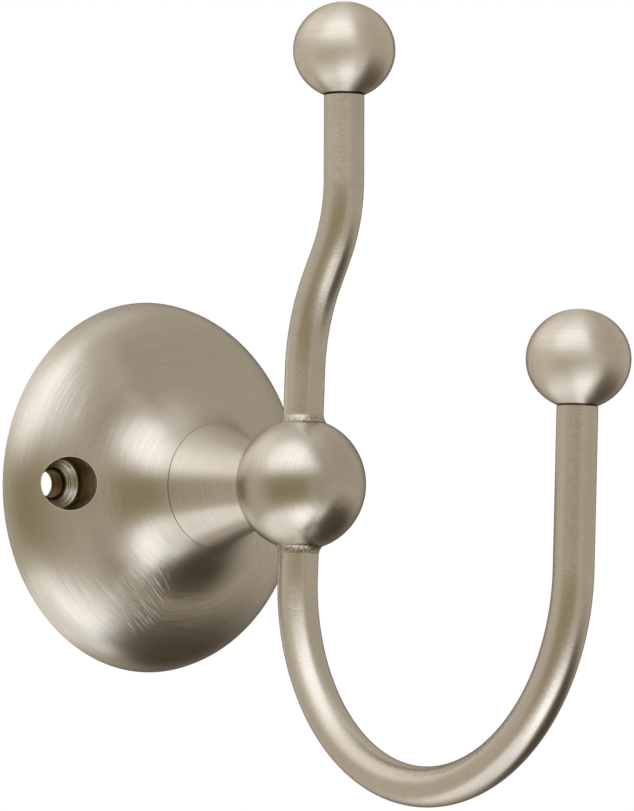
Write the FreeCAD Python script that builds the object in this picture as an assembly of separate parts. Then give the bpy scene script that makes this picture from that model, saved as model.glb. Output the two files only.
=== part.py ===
import FreeCAD, Part
import math
import os

# Double robe hook. Millimetres. +X is across the wall, +Y goes into the wall, +Z is up.
# The origin is the centre of the backplate's back face, so the wall is the plane y = 0.

# Driving dimensions
ROD_DIA = 8.0
PLATE_DIA = 74.53
PLATE_WALL = 3.0
BALL_DIA = 26.18
BALL_DEPTH = 25.18
BALL_REACH = 48.4
FINIAL_DIA = 20.22
FINIAL_HEIGHT = 19.25

# Backplate outline, from the wall up to the neck seam: shoulder, crown and flare arcs.
# The shoulder's radius and the screw circle's are shares of the plate's radius. The crown's
# end is at shares of the way in and up from the shoulder to the seam. Slopes are in degrees.
SHOULDER_SHARE = 0.2415
RIM_SLOPE = 85.0
SHOULDER_SLOPE = 36.0
CROWN_SPAN = 0.46
CROWN_RISE = 0.295
SEAM_RADIUS = 12.37
SEAM_HEIGHT = 21.75
SEAM_BEVEL = 0.12
RIM_BEVEL = 0.25
HUB_UNDERSIDE = 13.0

# Wall screw holes, drilled in steps from the front
SCREW_CIRCLE_SHARE = 0.7383
PLATE_TURN = 1.83
SCREW_HOLE_RADIUS = 2.75
LEAD_BOTTOM = 3.3
LEAD_RADIUS = 3.15
COUNTERSINK_BOTTOM = 3.95
COUNTERSINK_TOP = 5.8
COUNTERSINK_RADIUS = 4.95
COUNTERBORE_RADIUS = 5.33
BOSS_WALL = 2.2

# Neck
NECK_END_RADIUS = 7.6
NECK_HOLLOW = 0.3
SPIGOT_RADIUS = 8.0
SPIGOT_LENGTH = 4.0

# Hook rod, up and down from the centre ball
STEM_RISE = 22.6
STEM_LOWER_BEND = 38.8
STEM_UPPER_BEND = 29.0
STEM_SLOPE = 27.35
STEM_SLOPE_LENGTH = 5.3
STEM_TOP_LEAN = 2.9
TOP_FINIAL_HEIGHT = 85.65
HOOK_DROP = 18.0
HOOK_BEND = 41.4
HOOK_LEAN = 0.9
FRONT_FINIAL_HEIGHT = 22.7
ROD_END_BEVEL = 0.2
PIN_RADIUS = 2.5
PIN_LENGTH = 6.0

# Assembly screw and spring washer
SCREW_DIA = 6.0
SCREW_HEAD_RADIUS = 5.0
SCREW_HEAD_HEIGHT = 4.0
SOCKET_FLATS = 5.0
SOCKET_DEPTH = 2.4
WASHER_RADIUS = 5.0
WASHER_THICKNESS = 1.6
WASHER_SPLIT = 0.8
WEB_TO_ROD = 1.1

# Braze beads
BEAD_HEIGHT = 1.75
BEAD_WIDTH = 1.35
BEAD_BULGE = 0.32

# Named clearances
FIT_GAP = 0.05
SEAT_GAP = 0.02
BORE_GAP = 0.3

ROD_RADIUS = ROD_DIA / 2
PLATE_RADIUS = PLATE_DIA / 2
SHOULDER_RADIUS = PLATE_RADIUS * SHOULDER_SHARE
SCREW_CIRCLE_RADIUS = PLATE_RADIUS * SCREW_CIRCLE_SHARE
BALL_RADIUS = BALL_DIA / 2
FINIAL_RADIUS = FINIAL_DIA / 2
SCREW_RADIUS = SCREW_DIA / 2
NECK_END = BALL_REACH - BALL_DEPTH / 2 * math.sqrt(1 - (NECK_END_RADIUS / BALL_RADIUS) ** 2)
EXTRA = 1.0

Vec = FreeCAD.Vector
X_AXIS = Vec(1, 0, 0)
Y_AXIS = Vec(0, 1, 0)
Z_AXIS = Vec(0, 0, 1)
ORIGIN = Vec(0, 0, 0)


def at(radius, height):
    """A point of a turned outline: its distance from the neck's axis and from the wall."""
    return Vec(radius, -height, 0)


def line(a, b):
    return Part.LineSegment(a, b).toShape()


def arc(a, middle, b):
    return Part.Arc(a, middle, b).toShape()


def turned(edges):
    """The solid swept by a closed outline turned once around the neck's axis."""
    face = Part.Face(Part.Wire(edges))
    return face.revolve(ORIGIN, Y_AXIS, 360)


def post(radius, low, high, x=0.0, z=0.0):
    """A cylinder square to the wall, between two heights above it."""
    return Part.makeCylinder(radius, high - low, Vec(x, -high, z), Y_AXIS)


def cone(low_radius, high_radius, low, high, x=0.0, z=0.0):
    """A cone square to the wall, between two heights above it."""
    return Part.makeCone(high_radius, low_radius, high - low, Vec(x, -high, z), Y_AXIS)


def shoulder_point(slope):
    """The point of the shoulder arc where the outline has a slope, in degrees."""
    first = math.radians(RIM_SLOPE)
    a = math.radians(slope)
    inward = SHOULDER_RADIUS * (math.sin(first) - math.sin(a))
    return at(PLATE_RADIUS - inward, SHOULDER_RADIUS * (math.cos(a) - math.cos(first)))


def eased(start, end, slope):
    """Middle point and last slope of the arc that leaves start at a slope and ends at end."""
    chord = start - end
    chord_slope = math.degrees(math.atan2(chord.y, chord.x))
    half_turn = math.radians(chord_slope - slope)
    across = Vec(-chord.y, chord.x, 0) * (math.tan(half_turn / 2) / 2)
    return (start + end) * 0.5 + across, chord_slope, 2 * chord_slope - slope


def plate_outline(depth):
    """Shoulder, crown and flare arcs, drawn at a depth under the outer face."""
    shoulder_mid_slope = (RIM_SLOPE + SHOULDER_SLOPE) / 2
    shoulder_end = shoulder_point(SHOULDER_SLOPE)
    seam = at(SEAM_RADIUS, SEAM_HEIGHT)
    span = seam - shoulder_end
    crown_end = shoulder_end + Vec(span.x * CROWN_SPAN, span.y * CROWN_RISE, 0)
    crown_mid, crown_mid_slope, crown_slope = eased(shoulder_end, crown_end, SHOULDER_SLOPE)
    flare_mid, flare_mid_slope, flare_slope = eased(crown_end, seam, crown_slope)
    points = [
        (shoulder_point(RIM_SLOPE), RIM_SLOPE),
        (shoulder_point(shoulder_mid_slope), shoulder_mid_slope),
        (shoulder_end, SHOULDER_SLOPE),
        (crown_mid, crown_mid_slope),
        (crown_end, crown_slope),
        (flare_mid, flare_mid_slope),
        (seam, flare_slope),
    ]
    sunk = []
    for point, slope in points:
        a = math.radians(slope)
        sunk.append(point - at(math.sin(a), math.cos(a)) * depth)
    return sunk


def dished(depth, low, high):
    """The turned solid under the plate's outline at a depth, from one height to another."""
    p = plate_outline(depth)
    root = low - 2 * EXTRA
    foot = at(p[0].x, root)
    top = at(0, -p[6].y)
    edges = [
        line(at(0, root), foot),
        line(foot, p[0]),
        arc(p[0], p[1], p[2]),
        arc(p[2], p[3], p[4]),
        arc(p[4], p[5], p[6]),
        line(p[6], top),
        line(top, at(0, root)),
    ]
    solid = turned(edges)
    return solid.common(post(2 * PLATE_RADIUS, low, high))


def screw_spots():
    """Centres of the two wall screw holes."""
    spots = []
    for side in (0, 180):
        a = math.radians(side + PLATE_TURN)
        spots.append((SCREW_CIRCLE_RADIUS * math.cos(a), SCREW_CIRCLE_RADIUS * math.sin(a)))
    return spots


def screw_hole(x, z):
    """Through hole, short lead, countersink and counterbore of one wall screw."""
    hole = post(SCREW_HOLE_RADIUS, -EXTRA, COUNTERSINK_TOP, x, z)
    lead = post(LEAD_RADIUS, LEAD_BOTTOM, COUNTERSINK_TOP, x, z)
    sink = cone(LEAD_RADIUS, COUNTERSINK_RADIUS, COUNTERSINK_BOTTOM, COUNTERSINK_TOP, x, z)
    bore = post(COUNTERBORE_RADIUS, COUNTERSINK_TOP, SEAM_HEIGHT, x, z)
    return hole.fuse([lead, sink, bore])


def beveled(solid, radius, height, size):
    """The solid with one of its turned outer edges beveled, found by radius and height."""
    for edge in solid.Edges:
        curve = edge.Curve
        if not isinstance(curve, Part.Circle):
            continue
        if abs(curve.Radius - radius) < 0.01 and abs(curve.Center.y + height) < 0.01:
            return solid.makeChamfer(size, [edge])
    raise ValueError("no edge to bevel")


def backplate():
    """Cored-out trumpet rosette with a hub for the neck and two screw bosses."""
    body = beveled(dished(0, 0, SEAM_HEIGHT), SEAM_RADIUS, SEAM_HEIGHT, SEAM_BEVEL)
    body = beveled(body, PLATE_RADIUS, 0, RIM_BEVEL)
    hollow = dished(PLATE_WALL, -EXTRA, HUB_UNDERSIDE)
    for x, z in screw_spots():
        hollow = hollow.cut(post(COUNTERBORE_RADIUS + BOSS_WALL, -2 * EXTRA, SEAM_HEIGHT, x, z))
    body = body.cut(hollow)
    body = body.cut(post(SCREW_RADIUS + BORE_GAP, HUB_UNDERSIDE - EXTRA, SEAM_HEIGHT + EXTRA))
    socket = SEAM_HEIGHT - SPIGOT_LENGTH - BORE_GAP
    body = body.cut(post(SPIGOT_RADIUS + FIT_GAP, socket, SEAM_HEIGHT + EXTRA))
    for x, z in screw_spots():
        body = body.cut(screw_hole(x, z))
    return body


def neck():
    """Turned post with a locating spigot, a waisted taper and a flat seat for the ball."""
    spigot_end = SEAM_HEIGHT - SPIGOT_LENGTH
    base = at(SEAM_RADIUS, SEAM_HEIGHT + SEAM_BEVEL)
    end = at(NECK_END_RADIUS, NECK_END)
    middle = at((SEAM_RADIUS + NECK_END_RADIUS) / 2 - NECK_HOLLOW, (SEAM_HEIGHT + NECK_END) / 2)
    bore = SCREW_RADIUS + BORE_GAP
    corners = [
        at(bore, NECK_END),
        at(bore, spigot_end),
        at(SPIGOT_RADIUS - SEAM_BEVEL, spigot_end),
        at(SPIGOT_RADIUS, spigot_end + SEAM_BEVEL),
        at(SPIGOT_RADIUS, SEAM_HEIGHT),
        at(SEAM_RADIUS - SEAM_BEVEL, SEAM_HEIGHT),
        base,
    ]
    edges = [line(a, b) for a, b in zip(corners, corners[1:])]
    edges.append(arc(base, middle, end))
    edges.append(line(end, corners[0]))
    return turned(edges)


def egg(axis, radius, half_length):
    """A ball flattened along one of the three main axes, centred on the origin."""
    squash = axis * (half_length / radius - 1) + Vec(1, 1, 1)
    matrix = FreeCAD.Matrix()
    matrix.scale(squash.x, squash.y, squash.z)
    return Part.makeSphere(radius).transformGeometry(matrix)


def centre_egg(extra=0.0):
    """The centre ball's outside, drawn larger by a margin if asked."""
    solid = egg(Y_AXIS, BALL_RADIUS + extra, BALL_DEPTH / 2 + extra)
    solid.translate(Vec(0, -BALL_REACH, 0))
    return solid


def centre_ball():
    """Flattened ball with a flat seat, a tapped hole for the screw and a cross hole."""
    tap_end = BALL_REACH - ROD_RADIUS - WEB_TO_ROD
    body = centre_egg()
    body = body.cut(post(BALL_DIA, 0, NECK_END))
    body = body.cut(post(SCREW_RADIUS + FIT_GAP, NECK_END - EXTRA, tap_end))
    cross = Part.makeCylinder(ROD_RADIUS + FIT_GAP, 2 * BALL_DIA, Vec(0, -BALL_REACH, -BALL_DIA), Z_AXIS)
    return body.cut(cross)


class Bender:
    """Centreline of the rod in the plane x = 0, drawn from a point and a heading."""

    def __init__(self, y, z, heading):
        self.y = y
        self.z = z
        self.heading = heading
        self.edges = []

    def point(self):
        return Vec(0, self.y, self.z)

    def direction(self):
        a = math.radians(self.heading)
        return Vec(0, -math.sin(a), math.cos(a))

    def straight(self, length):
        start = self.point()
        end = start + self.direction() * length
        self.edges.append(line(start, end))
        self.y = end.y
        self.z = end.z

    def bend(self, radius, turn):
        """A bend through an angle: positive turns away from the wall on the way up."""
        side = math.copysign(1.0, turn)
        a = math.radians(self.heading)
        normal = Vec(0, -math.cos(a), -math.sin(a)) * side
        centre = self.point() + normal * radius
        ends = []
        for part in (0.5, 1.0):
            b = math.radians(self.heading + turn * part)
            ends.append(centre - Vec(0, -math.cos(b), -math.sin(b)) * (side * radius))
        self.edges.append(arc(self.point(), ends[0], ends[1]))
        self.y = ends[1].y
        self.z = ends[1].z
        self.heading += turn


def finial_flat():
    """Distance from a finial's centre down to the flat that sits on the rod's end."""
    seat = ROD_RADIUS + BORE_GAP
    return FINIAL_HEIGHT / 2 * math.sqrt(1 - (seat / FINIAL_RADIUS) ** 2)


def stem():
    """Upper stem's centreline, from the centre ball up to the rod's upper end."""
    path = Bender(-BALL_REACH, 0, 0)
    path.straight(STEM_RISE)
    path.bend(STEM_LOWER_BEND, STEM_SLOPE)
    path.straight(STEM_SLOPE_LENGTH)
    path.bend(STEM_UPPER_BEND, -(STEM_SLOPE + STEM_TOP_LEAN))
    run = (TOP_FINIAL_HEIGHT - path.z) / path.direction().z
    path.straight(run - finial_flat())
    return path


def lower_hook():
    """Lower hook's centreline, from the centre ball down, round and up to its front end."""
    path = Bender(-BALL_REACH, 0, 180)
    path.straight(HOOK_DROP)
    path.bend(HOOK_BEND, -(180 + HOOK_LEAN))
    run = (FRONT_FINIAL_HEIGHT - path.z) / path.direction().z
    path.straight(run - finial_flat())
    return path


def rod_length(path):
    """One swept length of rod, with a beveled end and a pin for its finial."""
    start = path.edges[0].Vertexes[0].Point
    heading = Vec(0, 0, math.copysign(1.0, path.edges[0].Vertexes[1].Point.z - start.z))
    section = Part.Wire(Part.makeCircle(ROD_RADIUS, start, heading))
    swept = Part.Wire(path.edges).makePipeShell([section], True, True)
    end = path.point()
    out = path.direction()
    swept = end_beveled(swept, end)
    pin = Part.makeCylinder(PIN_RADIUS, PIN_LENGTH + EXTRA, end - out * EXTRA, out)
    return swept.fuse(pin)


def end_beveled(swept, end):
    """The swept rod with the edge of its far end beveled."""
    for edge in swept.Edges:
        curve = edge.Curve
        if isinstance(curve, Part.Circle) and (curve.Center - end).Length < 0.01:
            return swept.makeChamfer(ROD_END_BEVEL, [edge])
    raise ValueError("no end to bevel")


def hook_rod():
    """One bent round bar: upper stem, straight through the ball, and the lower hook."""
    return rod_length(stem()).fuse(rod_length(lower_hook())).removeSplitter()


def finial(path):
    """Flattened end ball with a flat seat and a blind hole, set on the end of a path."""
    flat = finial_flat()
    body = egg(Z_AXIS, FINIAL_RADIUS, FINIAL_HEIGHT / 2)
    below = Part.makeCylinder(FINIAL_DIA, FINIAL_HEIGHT, Vec(0, 0, -flat - FINIAL_HEIGHT), Z_AXIS)
    depth = PIN_LENGTH + BORE_GAP
    hole = Part.makeCylinder(PIN_RADIUS + FIT_GAP, depth + EXTRA, Vec(0, 0, -flat - EXTRA), Z_AXIS)
    body = body.cut(below).cut(hole)
    body.rotate(ORIGIN, X_AXIS, path.heading % 360)
    centre = path.point() + path.direction() * flat
    body.translate(centre)
    return body


def braze_bead(side):
    """Fillet of filler metal round the rod where it leaves the ball, above or below."""
    inner = ROD_RADIUS + SEAT_GAP
    foot = BALL_RADIUS * math.sqrt(1 - ((inner + BEAD_WIDTH) / BALL_RADIUS) ** 2)
    top = BALL_RADIUS * math.sqrt(1 - (inner / BALL_RADIUS) ** 2) + BEAD_HEIGHT
    root = foot - EXTRA
    a = Vec(inner, 0, root)
    b = Vec(inner + BEAD_WIDTH, 0, root)
    c = Vec(inner + BEAD_WIDTH, 0, foot)
    d = Vec(inner, 0, top)
    chord = d - c
    across = Vec(-chord.z, 0, chord.x).normalize()
    middle = (c + d) * 0.5 + across * BEAD_BULGE
    face = Part.Face(Part.Wire([line(a, b), line(b, c), arc(c, middle, d), line(d, a)]))
    ring = face.revolve(ORIGIN, Z_AXIS, 360)
    ring.translate(Vec(0, -BALL_REACH, 0))
    if side < 0:
        ring.rotate(Vec(0, -BALL_REACH, 0), X_AXIS, 180)
    return ring.cut(centre_egg(SEAT_GAP))


def assembly_screw():
    """Socket head screw from the plate's back, through the neck, into the ball."""
    seat = HUB_UNDERSIDE - WASHER_THICKNESS
    tip = BALL_REACH - ROD_RADIUS - WEB_TO_ROD - BORE_GAP
    body = post(SCREW_HEAD_RADIUS, seat - SCREW_HEAD_HEIGHT, seat)
    body = body.fuse(post(SCREW_RADIUS, seat - EXTRA, tip))
    corner = SOCKET_FLATS / math.sqrt(3)
    low = seat - SCREW_HEAD_HEIGHT - EXTRA
    ring = []
    for k in range(7):
        a = math.radians(60 * k)
        ring.append(Vec(corner * math.cos(a), -low, corner * math.sin(a)))
    socket = Part.Face(Part.makePolygon(ring)).extrude(Vec(0, -(SOCKET_DEPTH + EXTRA), 0))
    return body.cut(socket)


def lock_washer():
    """Split spring washer between the screw's head and the plate's hub."""
    low = HUB_UNDERSIDE - WASHER_THICKNESS
    body = post(WASHER_RADIUS, low, HUB_UNDERSIDE)
    body = body.cut(post(SCREW_RADIUS + BORE_GAP, low - EXTRA, HUB_UNDERSIDE + EXTRA))
    split = Part.makeBox(WASHER_SPLIT, WASHER_THICKNESS + 2 * EXTRA, 2 * WASHER_RADIUS)
    split.translate(Vec(-WASHER_SPLIT / 2, -HUB_UNDERSIDE - EXTRA, 0))
    return body.cut(split)


nodes = {
    "backplate": backplate(),
    "neck": neck(),
    "centre_ball": centre_ball(),
    "hook_rod": hook_rod(),
    "upper_braze_bead": braze_bead(1),
    "lower_braze_bead": braze_bead(-1),
    "top_finial_ball": finial(stem()),
    "front_finial_ball": finial(lower_hook()),
    "assembly_screw": assembly_screw(),
    "lock_washer": lock_washer(),
}

os.makedirs("parts", exist_ok=True)
for name, shape in nodes.items():
    solids = shape.Solids
    if len(solids) != 1 or not shape.isValid():
        raise ValueError(f"{name} has {len(solids)} solids, valid {shape.isValid()}")
    solids[0].exportStep(f"parts/{name}.step")
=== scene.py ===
import math

import bmesh
import bpy
from mathutils import Euler, Matrix, Vector


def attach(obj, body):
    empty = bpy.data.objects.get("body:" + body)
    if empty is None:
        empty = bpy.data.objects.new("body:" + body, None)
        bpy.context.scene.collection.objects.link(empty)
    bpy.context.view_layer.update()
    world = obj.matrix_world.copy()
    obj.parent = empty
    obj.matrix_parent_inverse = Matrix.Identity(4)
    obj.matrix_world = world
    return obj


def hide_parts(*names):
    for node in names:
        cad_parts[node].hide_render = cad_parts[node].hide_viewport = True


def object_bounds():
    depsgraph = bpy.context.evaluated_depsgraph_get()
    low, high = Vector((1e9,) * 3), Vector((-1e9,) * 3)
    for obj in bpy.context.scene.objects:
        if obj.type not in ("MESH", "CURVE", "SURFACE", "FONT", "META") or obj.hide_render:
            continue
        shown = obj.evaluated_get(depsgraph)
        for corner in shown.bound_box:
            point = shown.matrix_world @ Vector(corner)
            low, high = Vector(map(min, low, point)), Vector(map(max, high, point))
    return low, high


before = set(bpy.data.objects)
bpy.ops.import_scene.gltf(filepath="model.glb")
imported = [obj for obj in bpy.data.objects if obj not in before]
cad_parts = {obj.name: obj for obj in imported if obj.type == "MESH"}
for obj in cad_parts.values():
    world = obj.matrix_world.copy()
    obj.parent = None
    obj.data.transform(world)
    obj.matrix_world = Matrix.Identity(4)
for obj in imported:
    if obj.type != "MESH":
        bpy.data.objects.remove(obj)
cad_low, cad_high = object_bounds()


# Studio: a white sweep behind and a pale floor well below the hook, which hangs from its wall
# screws. The light is soft: a long box over the front and one under it, with the dark of the
# room between them, which is what the brushed metal mirrors.
class Signal:
    """A socket of a node tree. Arithmetic adds Math nodes, and node() adds any other node."""

    def __init__(self, tree, socket=None):
        self.tree = tree
        self.socket = socket

    def node(self, kind, settings=(), outlet=0, inputs=()):
        made = self.tree.nodes.new(kind)
        for name, value in dict(settings).items():
            setattr(made, name, value)
        for name, value in dict(inputs).items():
            plug = made.inputs[name]
            if isinstance(value, Signal):
                self.tree.links.new(value.socket, plug)
            else:
                plug.default_value = value
        self.last = made
        return Signal(self.tree, made.outputs[outlet] if made.outputs else None)

    def other(self, outlet):
        """Another outlet of the node that was made last."""
        return Signal(self.tree, self.last.outputs[outlet])

    def maths(self, operation, *values):
        inputs = dict(enumerate(values))
        return self.node("ShaderNodeMath", {"operation": operation}, 0, inputs)

    def vector(self, operation, *values, outlet=0):
        inputs = dict(enumerate(values))
        return self.node("ShaderNodeVectorMath", {"operation": operation}, outlet, inputs)

    def __add__(self, other):
        return self.maths("ADD", self, other)

    def __radd__(self, other):
        return self.maths("ADD", other, self)

    def __sub__(self, other):
        return self.maths("SUBTRACT", self, other)

    def __rsub__(self, other):
        return self.maths("SUBTRACT", other, self)

    def __mul__(self, other):
        return self.maths("MULTIPLY", self, other)

    def __rmul__(self, other):
        return self.maths("MULTIPLY", other, self)

    def __truediv__(self, other):
        return self.maths("DIVIDE", self, other)

    def __rtruediv__(self, other):
        return self.maths("DIVIDE", other, self)

    def __pow__(self, other):
        return self.maths("POWER", self, other)

    def ramp(self, low, high):
        """0 below low, 1 above high and smooth between them."""
        inputs = {"Value": self, "From Min": low, "From Max": high, "To Min": 0.0, "To Max": 1.0}
        settings = {"interpolation_type": "SMOOTHSTEP"}
        return self.node("ShaderNodeMapRange", settings, 0, inputs)

    def clamped(self):
        """Held between 0 and 1."""
        return self.maths("MAXIMUM", self.maths("MINIMUM", self, 1.0), 0.0)

    def mixed(self, low, high):
        """The colour low where this is 0 and the colour high where it is 1."""
        inputs = {"Factor": self, 6: low, 7: high}
        return self.node("ShaderNodeMix", {"data_type": "RGBA"}, 2, inputs)


CAMERA_PLACE = Vector((-1.16620, -1.46985, -0.08792))
CAMERA_TURN = math.radians(-39.448)
CAMERA_RISE = math.radians(-3.224)
CAMERA_ROLL = math.radians(2.031)
CAMERA_LENS = 413.55
SENSOR_WIDTH = 36
NEAREST_SEEN = 0.1
FURTHEST_SEEN = 20

toward = Vector((
    math.sin(CAMERA_TURN) * math.cos(CAMERA_RISE),
    -math.cos(CAMERA_TURN) * math.cos(CAMERA_RISE),
    math.sin(CAMERA_RISE),
))
level_across = Vector((math.cos(CAMERA_TURN), math.sin(CAMERA_TURN), 0))
upright = toward.cross(level_across)
across = math.cos(CAMERA_ROLL) * level_across + math.sin(CAMERA_ROLL) * upright
upward = math.cos(CAMERA_ROLL) * upright - math.sin(CAMERA_ROLL) * level_across

camera_data = bpy.data.cameras.new("camera")
camera_data.lens = CAMERA_LENS
camera_data.sensor_width = SENSOR_WIDTH
camera_data.clip_start = NEAREST_SEEN
camera_data.clip_end = FURTHEST_SEEN
camera = bpy.data.objects.new("camera", camera_data)
camera_turn = Matrix((across, upward, toward)).transposed().to_4x4()
camera.matrix_world = Matrix.Translation(CAMERA_PLACE) @ camera_turn
bpy.context.scene.collection.objects.link(camera)
bpy.context.scene.camera = camera

bpy.context.scene.view_settings.view_transform = "Standard"

ROOM_RIGHT = (0.530, 0.480, 0.400, 1)
ROOM_LEFT = (0.547, 0.491, 0.412, 1)
CEILING = (0.760, 0.730, 0.680, 1)
CAMERA_SIDE = (0.320, 0.270, 0.158, 1)
LONG_BOX_END = (0.990, 0.940, 0.865, 1)
LONG_BOX = (1.470, 1.490, 1.500, 1)
LOW_BOX_END = (1.050, 1.025, 0.975, 1)
LOW_BOX_MIDDLE = (1.080, 1.085, 1.060, 1)
LOW_BOX = (1.620, 1.640, 1.660, 1)
DARK_CORNER = (0.075, 0.055, 0.035, 1)
RIGHT_WALL = (0.476, 0.424, 0.352, 1)
BEHIND = (0.160, 0.148, 0.130, 1)
FLOOR_GLOW = (1.500, 1.500, 1.490, 1)
WHITE = (1, 1, 1, 1)
ROOM_TURNS = (-4, 46)
CEILING_STARTS = (45, 85)
FLOOR_GLOW_ENDS = (-86, -76)
LOW_EDGE_PIVOT = 62
LOW_EDGE_LEAN = 0.27
DARK_EDGE_PIVOT = 43
DARK_EDGE_LEAN = 0.34

world = bpy.data.worlds.new("studio")
bpy.context.scene.world = world
world.use_nodes = True
world.node_tree.nodes.clear()
sky = Signal(world.node_tree)
looking = sky.node("ShaderNodeTexCoord", outlet="Generated")
right = sky.vector("DOT_PRODUCT", looking, tuple(across), outlet="Value")
height = sky.vector("DOT_PRODUCT", looking, tuple(upward), outlet="Value")
near = sky.vector("DOT_PRODUCT", looking, tuple(toward), outlet="Value")
bearing = sky.maths("ARCTAN2", right, near) * math.degrees(1)
from_behind = sky.maths("ARCTAN2", -1 * right, -1 * near) * math.degrees(1)
rise = sky.maths("ARCSINE", height) * math.degrees(1)


def span(angle, off, full, full_end, off_end):
    """1 between the full angles, falling smoothly to 0 at the off ones."""
    return angle.ramp(off, full) * (1 - angle.ramp(full_end, off_end))


# Each light is a colour, the angle that its sides are measured by, and in degrees where it
# starts, is full, begins to fade and has gone: first from side to side, then from low to high.
low_edge = bearing - (rise + LOW_EDGE_PIVOT) * LOW_EDGE_LEAN
dark_edge = from_behind - (rise + DARK_EDGE_PIVOT) * DARK_EDGE_LEAN
SOFT_LIGHTS = (
    (CAMERA_SIDE, bearing, (-81, -46, 12, 31), (-41, -20, 6, 25)),
    (LONG_BOX_END, bearing, (-162, -122, -51, -11), (5, 34, 50, 78)),
    (LONG_BOX, bearing, (-83, -49, 14, 46), (13, 40, 63, 89)),
    (LOW_BOX_END, bearing, (-169, -129, -20, 20), (-103, -79, -48, -37)),
    (LOW_BOX_MIDDLE, bearing, (-98, -61, 2, 38), (-103, -79, -60, -44)),
    (LOW_BOX, low_edge, (-35, 0, 57, 78), (-99, -75, -49, -28)),
    (DARK_CORNER, dark_edge, (-133, -110, -26, 12), (-80, -62, -35, -9)),
    (RIGHT_WALL, bearing, (25, 62, 115, 151), (-20, 10, 39, 70)),
    (BEHIND, from_behind, (-42, -22, 12, 34), (-50, -28, 10, 34)),
)
glow = (1 - bearing.ramp(*ROOM_TURNS)).mixed(ROOM_RIGHT, ROOM_LEFT)
glow = rise.ramp(*CEILING_STARTS).mixed(glow, CEILING)
for colour, angle, sides, heights in SOFT_LIGHTS:
    glow = (span(angle, *sides) * span(rise, *heights)).mixed(glow, colour)
glow = (1 - rise.ramp(*FLOOR_GLOW_ENDS)).mixed(glow, FLOOR_GLOW)
rays = sky.node("ShaderNodeLightPath", outlet="Is Camera Ray")
seen = rays.mixed(glow, WHITE)
shone = sky.node("ShaderNodeBackground", inputs={"Color": seen, "Strength": 1.0})
sky.node("ShaderNodeOutputWorld", inputs={"Surface": shone})

FLOOR_DEPTH = 1.5
FLOOR_RADIUS = 0.5
FLOOR_EDGES = 96
FLOOR_PALE = (0.86, 0.86, 0.85, 1)
floor_mesh = bpy.data.meshes.new("floor")
sheet = bmesh.new()
bmesh.ops.create_circle(sheet, cap_ends=True, segments=FLOOR_EDGES, radius=FLOOR_RADIUS)
bmesh.ops.translate(sheet, vec=(0, 0, cad_low.z - FLOOR_DEPTH), verts=sheet.verts)
sheet.to_mesh(floor_mesh)
sheet.free()
floor = bpy.data.objects.new("floor", floor_mesh)
bpy.context.scene.collection.objects.link(floor)
floor_paint = bpy.data.materials.new("pale_floor")
floor_paint.use_nodes = True
floor_paint.node_tree.nodes.clear()
net = Signal(floor_paint.node_tree)
net.node("ShaderNodeLightPath")
seen = net.other("Is Camera Ray") + net.other("Is Glossy Ray")
matt = net.node("ShaderNodeBsdfDiffuse", inputs={"Color": FLOOR_PALE})
white = net.node("ShaderNodeEmission", inputs={"Color": WHITE, "Strength": 1.0})
shown = net.node("ShaderNodeMixShader", inputs={0: seen, 1: matt, 2: white})
net.node("ShaderNodeOutputMaterial", inputs={"Surface": shown})
floor_mesh.materials.append(floor_paint)


# Backplate: a trumpet-shaped rosette turned in one piece and cored out at the back, with two
# counterbored and countersunk holes for the wall screws and a hub for the neck. Satin nickel,
# brushed in rings round its own axis.
MM = 0.001
PLATE_RADIUS = 37.265
PLATE_WALL = 3.0
SHOULDER_RADIUS = 0.2415 * PLATE_RADIUS
RIM_SLOPE = 85.0
SHOULDER_SLOPE = 36.0
CROWN_SPAN = 0.46
CROWN_RISE = 0.295
SHOULDER_STEPS = 28
CROWN_STEPS = 24
FLARE_STEPS = 36
SEAM_RADIUS = 12.37
SEAM_HEIGHT = 21.75
SEAM_BEVEL = 0.12
SEAM_DEPTH = 0.16
RIM_BEVEL = 0.25
HUB_UNDERSIDE = 13.0
HOLLOW_CORNER = 0.4
PLATE_TURN = math.radians(1.83)
SCREW_CIRCLE_RADIUS = 0.7383 * PLATE_RADIUS
SCREW_HOLE_RADIUS = 2.75
LEAD_RADIUS = 3.15
LEAD_BOTTOM = 3.3
COUNTERSINK_BOTTOM = 3.95
COUNTERSINK_TOP = 5.8
COUNTERSINK_RADIUS = 4.95
COUNTERBORE_RADIUS = 5.33
BOSS_WALL = 2.2
SPIGOT_RADIUS = 8.0
SPIGOT_LENGTH = 4.0
SPIGOT_GAP = 0.3
BORE_RADIUS = 3.3
FIT_GAP = 0.05
PAST_FACE = 24.0
PAST_BACK = 1.0
BOSS_PAST_BACK = 2.0
SEGMENTS = 256
HOLLOW_SEGMENTS = 192
BOSS_SEGMENTS = 96
HOLE_SEGMENTS = 128
SHARP_FROM = math.radians(32)
WELD = 1e-6
SAME_POINT = 1e-7
NO_LENGTH = 1e-8
NO_BEND = 1e-6
OUT_OF_WALL = Euler((math.radians(90), 0, 0))

NICKEL = (0.675, 0.635, 0.570, 1)
NICKEL_DULL = (0.620, 0.578, 0.508, 1)
# Painted colours follow: shade inside the screw holes, a highlight on their mouths' edge, and
# shadow in the seams and joints.
HOLE_MOUTH_PAINTED_SHADE = (0.430, 0.355, 0.205, 1)
HOLE_WALL_PAINTED_SHADE = (0.125, 0.086, 0.032, 1)
HOLE_DEEP_PAINTED_SHADE = (0.085, 0.048, 0.006, 1)
HOLE_STEP_PAINTED_SHADE = (0.020, 0.012, 0.006, 1)
PAINTED_EDGE_HIGHLIGHT = (0.950, 0.920, 0.850, 1)
SEAM_PAINTED_SHADOW = (0.120, 0.095, 0.065, 1)


def new_paint(name):
    """A material with nothing in it, and a signal to build it from."""
    paint = bpy.data.materials.new(name)
    paint.use_nodes = True
    paint.node_tree.nodes.clear()
    return paint, Signal(paint.node_tree)


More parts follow.
